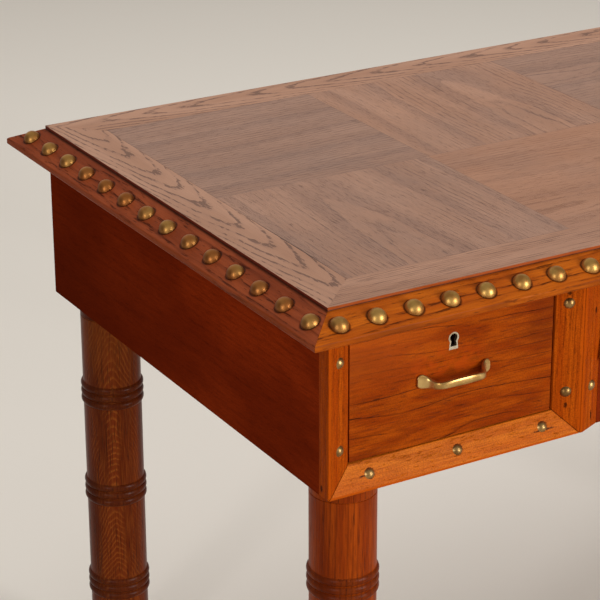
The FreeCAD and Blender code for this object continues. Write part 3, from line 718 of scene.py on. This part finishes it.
def brass(name, bright, dull, roughness, edge=None):
    """Aged metal with a cloudy polish; edge adds what is particular to a piece."""
    graph = new_graph(name)
    clouds = graph.clouds(60.0, 4.0, 0.6)
    tone = graph.mix(graph.curve(clouds, 0.40, 0.65), bright, dull)
    rough = graph.math("MULTIPLY_ADD", clouds, 0.15, roughness)
    if edge is not None:
        tone = edge(graph, tone)
    normal = graph.bump(graph.clouds(900.0), metal_relief)
    return graph.finish(tone, rough, normal, Metallic=0.9)


def squareness(graph, directions):
    """1 where a surface faces along one of some directions, less where it leans off."""
    most = graph.dot(graph.facing, directions[0])
    for direction in directions[1:]:
        most = graph.math("MAXIMUM", most, graph.dot(graph.facing, direction))
    return most


def stud_patina(graph, tone):
    """Copper-coloured studs on the ends with a painted dark reflection on their outward side,
    and a dark rim round every stud.
    """
    x = graph.split(graph.place)[0]
    beyond = graph.math("ABSOLUTE", x)
    end = graph.curve(beyond, flat_half_length - 0.0005, flat_half_length + 0.0005)
    ruddy = graph.curve(graph.clouds(14.0, 0.0), 0.42, 0.58, 0.25, 0.8)
    tone = graph.mix(graph.product(end, ruddy), tone, COPPER)
    # Painted reflection: the end studs are darkened where they face outward, past the desk's
    # ends.
    outward = graph.product(graph.split(graph.facing)[0], graph.math("SIGN", x))
    dark_reflection = graph.product(end, graph.curve(outward, 0.50, 0.90, 0.0, 0.6))
    tone = graph.mix(dark_reflection, tone, END_STUD_DARK_REFLECTION)
    out, up = math.sin(bevel_slope), math.cos(bevel_slope)
    square = squareness(graph, ((0.0, -out, up), (-out, 0.0, up), (out, 0.0, up)))
    return graph.mix(graph.curve(square, 0.10, 0.22, 0.6, 0.0), tone, STUD_RIM)


def pin_patina(graph, tone):
    """A dark rim round every pin, where it leans off the strips' slopes."""
    aside, out = math.sin(strip_slope), math.cos(strip_slope)
    slopes = ((aside, -out, 0.0), (-aside, -out, 0.0), (0.0, -out, aside))
    square = squareness(graph, slopes)
    return graph.mix(graph.curve(square, 0.58, 0.70, 0.85, 0.0), tone, PIN_RIM)


# ---------------------------------------------------------------- dressing
def dress(node, material):
    """Give a CAD node its material."""
    slots = nodes[node].data.materials
    if not slots:
        slots.append(material)
    for i in range(len(slots)):
        slots[i] = material


# Turned, domed and cast pieces, the parquetry, the drawer fronts, and the border and
# moulding along the front keep their edges as made
AS_MADE_HEADS = (
    "leg_front_", "leg_back_", "leg_collars", "bevel_studs", "strip_pins", "parquet",
)
AS_MADE_TAILS = ("_handle", "_escutcheon", "_lock", "_front")
border_softness = 0.0003
edge_softness = 0.0008


def soften(node, width):
    """Round a node's edges a little, as handling does."""
    piece = nodes[node]
    weld = piece.modifiers.new("join_corners", "WELD")
    weld.merge_threshold = 1e-5
    bevel = piece.modifiers.new("soft_edges", "BEVEL")
    bevel.width = width
    bevel.segments = 2
    bevel.limit_method = "ANGLE"
    bevel.angle_limit = math.radians(30)
    bevel.use_clamp_overlap = False
    bevel.loop_slide = False
    piece.modifiers.new("even_shading", "WEIGHTED_NORMAL")


def dress_top():
    """The parquetry, its border and the moulding."""
    dress("parquet_lengthwise", parquet("lengthwise", "x", LENGTHWISE))
    dress("parquet_crosswise", parquet("crosswise", "y", CROSSWISE))
    sides = (
        ("front", "x", QUARTERED, front_stud_count),
        ("back", "x", CATHEDRAL, 0),
        ("left", "y", CATHEDRAL, end_stud_count),
        ("right", "y", CATHEDRAL, end_stud_count),
    )
    for side, direction, look, count in sides:
        node = "top_border_" + side
        dress(node, border(node, direction, look))
        node = "bevel_moulding_" + side
        tones = FRONT_MOULDING if direction == "x" else END_MOULDING
        worn = FRONT_WORN if direction == "x" else END_WORN
        dress(node, moulding(node, direction, tones, worn, count))
    dress("top_core", plain_wood("top_core", "x", PANEL, STILL))
    dress("bevel_studs", brass("bevel_studs", *STUDS, stud_patina))


def dress_carcass():
    """Panels, frame, strips and pins."""
    for node in ("end_panel_left", "end_panel_right", "partition_left", "partition_right"):
        dress(node, panel(node))
    dress("back_panel", plain_wood("back_panel", "x", PANEL, STILL, 0.4, 0.0))
    for node in ("top_rail", "side_rails", "centre_rail", "drawer_runners", "leg_blocks"):
        direction = "y" if node == "drawer_runners" else "x"
        dress(node, plain_wood(node, direction, INNER, QUIET, raw_wood))
    dress("front_stiles", plain_wood("front_stiles", "z", INNER, QUIET, raw_wood))
    for bay in ("left", "centre", "right"):
        for side in ("left", "right"):
            node = f"{bay}_bay_strip_{side}"
            dress(node, strip(node, "z", STRIP_UPRIGHT, 0.01))
        node = f"{bay}_bay_strip_bottom"
        # The level strip takes the lighter tones, which are painted light and sheen.
        dress(node, strip(node, "x", STRIP_LEVEL_LIT, 0.02))
    dress("strip_pins", brass("strip_pins", *PINS, pin_patina))


def collars():
    """The collars match their legs: darker at the back."""
    graph = new_graph("leg_collars")
    board = Board(graph, "z", middle_of("leg_collars"), 3.0)
    tone, pores, fibres = grain(graph, board, LEG, STRAIGHT_LEG)
    back = graph.curve(graph.split(graph.place)[1], -0.1, 0.1, 0.0, 0.8)
    tone = graph.mix(back, tone, DARK_LEG[2])
    return polish(graph, tone, pores, fibres, 0.30, 0.06)


def dress_legs():
    """Legs and their collars."""
    for node in ("leg_front_left", "leg_front_right", "leg_back_left", "leg_back_right"):
        dress(node, leg(node))
    dress("leg_collars", collars())


def dress_drawers():
    """The three drawers."""
    for bay in ("left", "centre", "right"):
        drawer = f"drawer_{bay}_"
        dress(drawer + "front", drawer_front(drawer + "front"))
        for part, direction in (("sides", "y"), ("back", "x"), ("bottom", "x")):
            node = drawer + part
            dress(node, plain_wood(node, direction, LINING, QUIET, raw_wood))
        for part, metal in (("handle", HANDLE), ("escutcheon", ESCUTCHEON), ("lock", LOCK)):
            node = drawer + part
            dress(node, brass(node, *metal))


def soften_edges():
    """Soften every piece but those whose edges stay as made."""
    for node in nodes:
        if node.startswith(AS_MADE_HEADS) or node.endswith(AS_MADE_TAILS):
            continue
        width = border_softness if node.startswith("top_border") else edge_softness
        soften(node, width)


dress_top()
dress_carcass()
dress_legs()
dress_drawers()
soften_edges()


# ---------------------------------------------------------------- floor, light, camera
PALE_FLOOR = srgb(236, 230, 221)
WARM_FLOOR = srgb(176, 140, 108)
SKY = srgb(250, 244, 236)
desk_middle = (-0.3, -0.2, 0.62)


def floor():
    """A plain pale floor, which throws back warmer light than it shows."""
    bpy.ops.mesh.primitive_plane_add(size=40.0, location=(0.0, 6.0, 0.0))
    plane = bpy.context.object
    plane.name = "floor"
    graph = new_graph("floor")
    rays = graph.add("ShaderNodeLightPath").outputs
    seen = graph.math("MAXIMUM", rays["Is Camera Ray"], rays["Is Glossy Ray"])
    seen = graph.math("MAXIMUM", seen, rays["Is Transmission Ray"])
    colour = graph.mix(seen, WARM_FLOOR, PALE_FLOOR)
    plane.data.materials.append(graph.finish(colour, 0.9, Specular_IOR_Level=0.0))


def softbox(name, place, width, height, power, spread, mirrored=True):
    """An oblong area lamp that points at the desk; mirrored if metal reflects it.

    A spread below 180 degrees keeps the light off the floor beside the lamp.
    """
    lamp = bpy.data.lights.new(name, "AREA")
    lamp.shape = "RECTANGLE"
    lamp.size = width
    lamp.size_y = height
    lamp.energy = power
    lamp.spread = math.radians(spread)
    holder = bpy.data.objects.new(name, lamp)
    holder.location = place
    holder.rotation_mode = "QUATERNION"
    toward = Vector(desk_middle) - Vector(place)
    holder.rotation_quaternion = toward.to_track_quat("-Z", "Y")
    holder.visible_camera = False
    holder.visible_glossy = mirrored
    bpy.context.scene.collection.objects.link(holder)


def world():
    """A surround that is brighter above, before and behind the desk than at its ends."""
    surround = bpy.data.worlds.new("surround")
    graph = Graph(surround)
    _, y, z = graph.split(graph.direction)
    level = graph.curve(graph.math("ABSOLUTE", y), 0.0, 0.9, 0.20, 0.55)
    level = graph.math("MAXIMUM", level, graph.curve(z, 0.2, 0.9, 0.20, 0.34))
    sky = surround.node_tree.nodes["Background"]
    graph.put(sky.inputs["Strength"], level)
    graph.put(sky.inputs["Color"], SKY)
    bpy.context.scene.world = surround


def camera():
    """The camera, before the desk's left end and above its top."""
    data = bpy.data.cameras.new("camera")
    data.sensor_width = camera_sensor
    data.lens = camera_lens
    data.clip_end = 100.0
    holder = bpy.data.objects.new("camera", data)
    yaw = math.radians(camera_yaw)
    pitch = math.radians(camera_pitch)
    level = math.cos(pitch)
    ahead = Vector((math.sin(yaw) * level, math.cos(yaw) * level, -math.sin(pitch)))
    roll = Quaternion((0.0, 0.0, 1.0), math.radians(camera_roll))
    holder.location = camera_place
    holder.rotation_mode = "QUATERNION"
    holder.rotation_quaternion = ahead.to_track_quat("-Z", "Y") @ roll
    bpy.context.scene.collection.objects.link(holder)
    bpy.context.scene.camera = holder


floor()
world()
softbox("left_window", (-6.35, -3.9, 1.67), 0.78, 3.3, 48.0, 120.0)
softbox("front_window", (2.14, -5.45, 1.42), 1.3, 2.8, 104.0, 120.0)
softbox("ceiling", (0.6, 1.2, 3.6), 4.0, 4.0, 70.0, 180.0, mirrored=False)
camera()
bpy.context.scene.view_settings.view_transform = "Standard"
